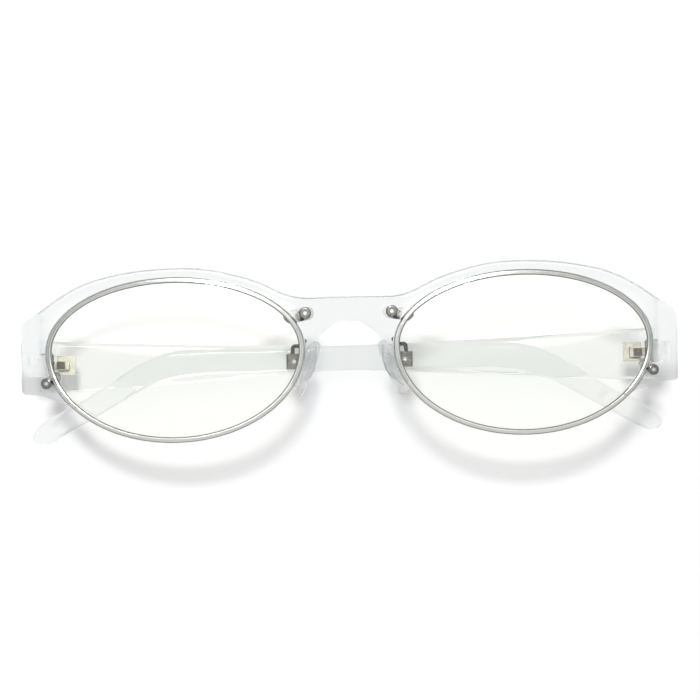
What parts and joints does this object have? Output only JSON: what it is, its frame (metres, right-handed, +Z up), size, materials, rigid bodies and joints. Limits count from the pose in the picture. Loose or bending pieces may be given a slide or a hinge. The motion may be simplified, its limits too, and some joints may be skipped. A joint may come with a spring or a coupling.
{
  "type": "oval combination eyeglasses",
  "caption": "Oval eyeglasses with a clear plastic brow and bridge over thin metal rims, folded clear temples and rocking nose pads.",
  "frame": {"origin": "on the floor under the middle of the folded glasses' bounding box, glasses standing on the lower rims and the temple tips", "axes": "+X to the wearer's left, +Y towards the wearer (the front faces -Y), +Z up"},
  "size_m": [0.138, 0.0264, 0.0363],
  "materials": {
    "clear_plastic": "polished crystal-clear plastic, faint blue-grey at the edges",
    "lens": "clear, very faint yellow-green coating",
    "rim_metal": "polished silver",
    "hardware": "bright turned steel",
    "pad_plastic": "clear soft nose pad"
  },
  "bodies": {
    "front": {"front_frame": "clear_plastic", "left_lens": "lens", "left_rim": "rim_metal", "left_lock_screw": "hardware", "left_bridge_screw": "hardware", "left_corner_screw": "hardware", "left_bridge_lug": "hardware", "left_corner_lug": "hardware", "left_front_hinge": "hardware", "left_hinge_screw": "hardware", "left_pad_box": "hardware", "left_pad_screw": "hardware", "left_pad_arm": "hardware", "right_lens": "lens", "right_rim": "rim_metal", "right_lock_screw": "hardware", "right_bridge_screw": "hardware", "right_corner_screw": "hardware", "right_bridge_lug": "hardware", "right_corner_lug": "hardware", "right_front_hinge": "hardware", "right_hinge_screw": "hardware", "right_pad_box": "hardware", "right_pad_screw": "hardware", "right_pad_arm": "hardware"},
    "left_temple_arm": {"left_temple": "clear_plastic", "left_temple_hinge": "hardware"},
    "right_temple_arm": {"right_temple": "clear_plastic", "right_temple_hinge": "hardware"},
    "left_pad": {"left_nose_pad": "pad_plastic", "left_pad_insert": "pad_plastic"},
    "right_pad": {"right_nose_pad": "pad_plastic", "right_pad_insert": "pad_plastic"}
  },
  "joints": [
    {"name": "left_temple_hinge_joint", "type": "hinge", "parent": "front", "child": "left_temple_arm", "pos_m": [0.0636, 0.00143, 0.01665], "axis": [0, 0, -1], "range_deg": [0, 0.5]},
    {"name": "right_temple_hinge_joint", "type": "hinge", "parent": "front", "child": "right_temple_arm", "pos_m": [-0.0636, 0.00143, 0.01665], "axis": [0, 0, 1], "range_deg": [0, 88]},
    {"name": "left_pad_rock", "type": "hinge", "parent": "front", "child": "left_pad", "pos_m": [0.0117, -0.00377, 0.01635], "axis": [0, 1, 0], "range_deg": [-8, 8]},
    {"name": "right_pad_rock", "type": "hinge", "parent": "front", "child": "right_pad", "pos_m": [-0.0117, -0.00377, 0.01635], "axis": [0, 1, 0], "range_deg": [-8, 8]}
  ]
}
